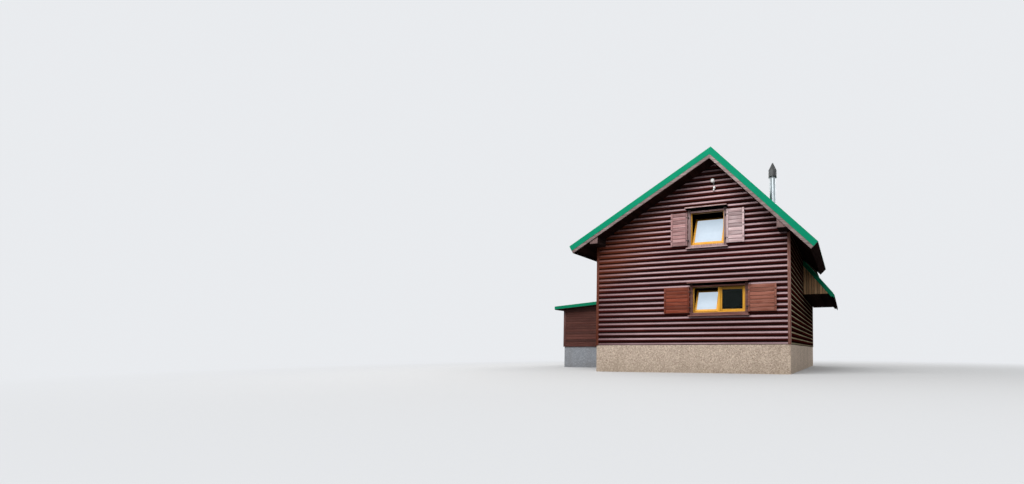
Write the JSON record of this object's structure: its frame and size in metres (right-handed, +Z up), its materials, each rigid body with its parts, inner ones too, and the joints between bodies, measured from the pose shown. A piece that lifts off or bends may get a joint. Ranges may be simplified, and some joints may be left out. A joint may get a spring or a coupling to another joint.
{
  "type": "log cabin",
  "caption": "Log-clad cabin on a rendered plinth with an uneven green metal gable roof, shuttered windows, side porch roof and rear lean-to.",
  "frame": {"origin": "on the ground, in the middle of the main house's footprint", "axes": "+Z up, the front gable with the shuttered windows faces -Y, +X to the right seen from the front"},
  "size_m": [12.206, 10.256, 7.86],
  "materials": {
    "annex_boards": "stained boards",
    "concrete": "cast concrete",
    "floor_timber": "planed boards",
    "flue_steel": "stainless steel",
    "hinge_steel": "black",
    "lamp_plastic": "white",
    "log_stain": "dark mahogany stain, semi-gloss",
    "porch_boards": "stained boards",
    "render": "pebble-dash masonry",
    "roof_metal": "green coated sheet",
    "shutter_lower": "stained boards",
    "shutter_upper": "faded stained boards",
    "soffit_timber": "dark stained boards",
    "trim_stain": "stained boards",
    "wall_timber": "timber",
    "window_glass": "clear",
    "window_timber": "golden stained timber"
  },
  "bodies": {
    "cabin": {"annex_corner_boards": "trim_stain", "annex_floor": "floor_timber", "annex_plinth": "render", "annex_roof": "soffit_timber", "annex_sheet": "roof_metal", "annex_walls": "annex_boards", "back_logs": "log_stain", "back_shutters": "shutter_lower", "back_wall": "wall_timber", "back_window_frames": "window_timber", "back_window_trim": "trim_stain", "base_slab": "concrete", "corner_boards": "trim_stain", "door_frame": "trim_stain", "door_leaf": "shutter_lower", "eave_boards": "trim_stain", "flue_cowl": "flue_steel", "flue_flashing": "flue_steel", "flue_pipe": "flue_steel", "front_logs": "log_stain", "front_wall": "wall_timber", "front_window_frames": "window_timber", "front_window_trim": "trim_stain", "gable_lamp": "lamp_plastic", "ground_floor": "floor_timber", "left_barge_boards": "trim_stain", "left_roof_deck": "soffit_timber", "left_roof_sheet": "roof_metal", "left_wall": "wall_timber", "plinth": "render", "porch_cheeks": "porch_boards", "porch_ledger": "soffit_timber", "porch_roof": "soffit_timber", "porch_sheet": "roof_metal", "porch_soffit": "soffit_timber", "ridge_beam": "wall_timber", "ridge_cap": "roof_metal", "right_barge_boards": "trim_stain", "right_roof_deck": "soffit_timber", "right_roof_sheet": "roof_metal", "right_wall": "wall_timber", "shutter_pintles": "hinge_steel", "side_logs": "log_stain", "upper_floor": "floor_timber", "wall_plates": "trim_stain", "window_glass": "window_glass", "window_sashes": "window_timber"},
    "upper_left_shutter": {"upper_left_shutter": "shutter_upper"},
    "upper_right_shutter": {"upper_right_shutter": "shutter_upper"},
    "lower_left_shutter": {"lower_left_shutter": "shutter_lower"},
    "lower_right_shutter": {"lower_right_shutter": "shutter_lower"}
  },
  "joints": [
    {"name": "upper_left_shutter_hinge", "type": "hinge", "parent": "cabin", "child": "upper_left_shutter", "pos_m": [0.065, -4.582, 4.825], "axis": [0, 0, 1], "range_deg": [0, 180]},
    {"name": "upper_right_shutter_hinge", "type": "hinge", "parent": "cabin", "child": "upper_right_shutter", "pos_m": [1.345, -4.582, 4.825], "axis": [0, 0, -1], "range_deg": [0, 180]},
    {"name": "lower_left_shutter_hinge", "type": "hinge", "parent": "cabin", "child": "lower_left_shutter", "pos_m": [0.1425, -4.582, 2.43], "axis": [0, 0, 1], "range_deg": [0, 180]},
    {"name": "lower_right_shutter_hinge", "type": "hinge", "parent": "cabin", "child": "lower_right_shutter", "pos_m": [2.0575, -4.582, 2.43], "axis": [0, 0, -1], "range_deg": [0, 180]}
  ]
}
